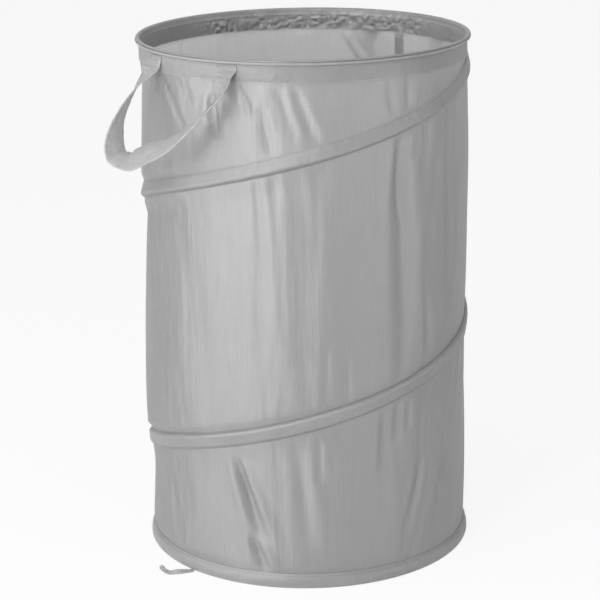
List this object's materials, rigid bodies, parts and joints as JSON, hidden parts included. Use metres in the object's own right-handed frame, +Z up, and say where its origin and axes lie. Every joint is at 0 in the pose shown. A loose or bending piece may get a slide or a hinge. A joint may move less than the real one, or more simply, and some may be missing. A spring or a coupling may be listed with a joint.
{
  "type": "pop-up laundry hamper",
  "caption": "Round pop-up laundry hamper: a thin cloth drum on sprung hoops and a spring coil, with two hanging strap handles, that folds flat.",
  "frame": {"origin": "on the floor at the middle of the round base", "axes": "+Z up along the drum's axis; -X towards the front handle and +X towards the rear handle"},
  "size_m": [0.4757, 0.38, 0.6],
  "materials": {
    "cloth": "thin satin-faced polyester cloth, neutral grey",
    "binding": "folded polyester binding, slightly darker and shinier than the wall, puckered along its stitching",
    "strap": "flat strap of the same cloth, folded and edge-stitched",
    "spring_wire": "bright drawn spring-steel wire",
    "crimped_sleeve": "crimped metal tube",
    "tip": "dark push-on plastic tip"
  },
  "bodies": {
    "base": {"wall_fabric": "cloth", "base_panel": "cloth", "bottom_hem": "binding", "bottom_hoop": "spring_wire", "bottom_hoop_sleeve": "crimped_sleeve", "spiral_casing": "binding", "spiral_wire": "spring_wire", "spiral_tip_lower": "tip", "side_seam_tape": "binding"},
    "top": {"top_hem": "binding", "top_hoop": "spring_wire", "top_hoop_sleeve": "crimped_sleeve", "spiral_tip_upper": "tip", "front_handle_tab_left": "strap", "front_handle_tab_right": "strap", "rear_handle_tab_left": "strap", "rear_handle_tab_right": "strap"},
    "front_handle": {"front_handle": "strap"},
    "rear_handle": {"rear_handle": "strap"},
    "front_tie": {"front_tie": "strap"},
    "rear_tie": {"rear_tie": "strap"}
  },
  "joints": [
    {"name": "collapse", "type": "slide", "parent": "base", "child": "top", "axis": [0, 0, -1], "range_m": [0, 0.545], "stiffness_N_per_m": 20, "springref_m": -0.1, "deforming": ["wall_fabric", "spiral_casing", "spiral_wire", "side_seam_tape"]},
    {"name": "front_handle_swing", "type": "hinge", "parent": "top", "child": "front_handle", "pos_m": [-0.18404, 0, 0.58012], "axis": [0, 1, 0], "range_deg": [-22, 132]},
    {"name": "rear_handle_swing", "type": "hinge", "parent": "top", "child": "rear_handle", "pos_m": [0.18404, 0, 0.58012], "axis": [0, -1, 0], "range_deg": [-2, 152]},
    {"name": "front_tie_lift", "type": "hinge", "parent": "base", "child": "front_tie", "pos_m": [-0.1908, 0, 0.0008], "axis": [0, 1, 0], "range_deg": [0, 90]},
    {"name": "rear_tie_lift", "type": "hinge", "parent": "base", "child": "rear_tie", "pos_m": [0.1908, 0, 0.0008], "axis": [0, -1, 0], "range_deg": [0, 90]}
  ]
}
